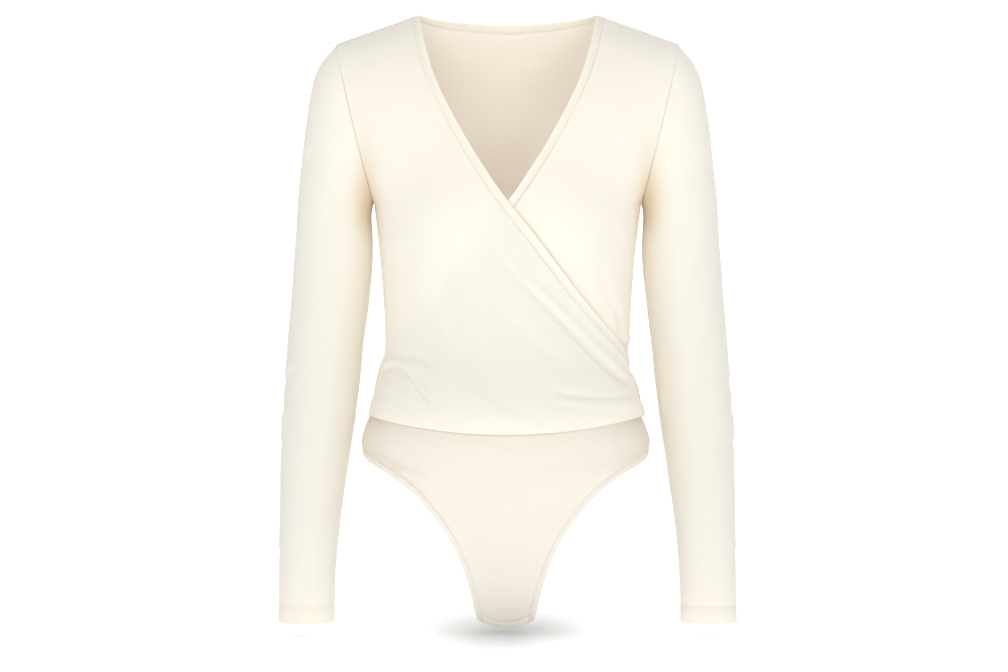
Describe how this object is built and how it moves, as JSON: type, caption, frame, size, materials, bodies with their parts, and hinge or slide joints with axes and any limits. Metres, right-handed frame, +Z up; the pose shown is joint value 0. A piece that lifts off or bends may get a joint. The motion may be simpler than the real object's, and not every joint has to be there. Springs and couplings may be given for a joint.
{
  "type": "bodysuit",
  "caption": "Long-sleeved wrap-front bodysuit with a V neckline, set-in sleeves, high-cut leg openings and bound edges, filled out as it is worn.",
  "frame": {"origin": "midway between the shoulder seams, at their mean height, where the wearer's shoulders hold the garment up", "axes": "+Z up, -Y the garment's front, +X to the right of somebody who faces the front"},
  "size_m": [0.5024, 0.2133, 0.6754],
  "materials": {
    "jersey": "fine cream stretch jersey, matt with a soft sheen",
    "binding": "the same cream jersey doubled over the edge and topstitched",
    "brief_jersey": "cream stretch jersey, matt"
  },
  "bodies": {
    "root": {"front_wrap": "jersey", "front_under": "jersey", "bodice_back": "jersey", "sleeve_right": "jersey", "sleeve_left": "jersey", "neckband_wrap": "binding", "neckband_under": "binding", "neckband_back": "binding", "brief_front": "brief_jersey", "gusset": "brief_jersey", "brief_back": "brief_jersey", "leg_band_left": "binding", "leg_band_right": "binding"}
  },
  "joints": []
}
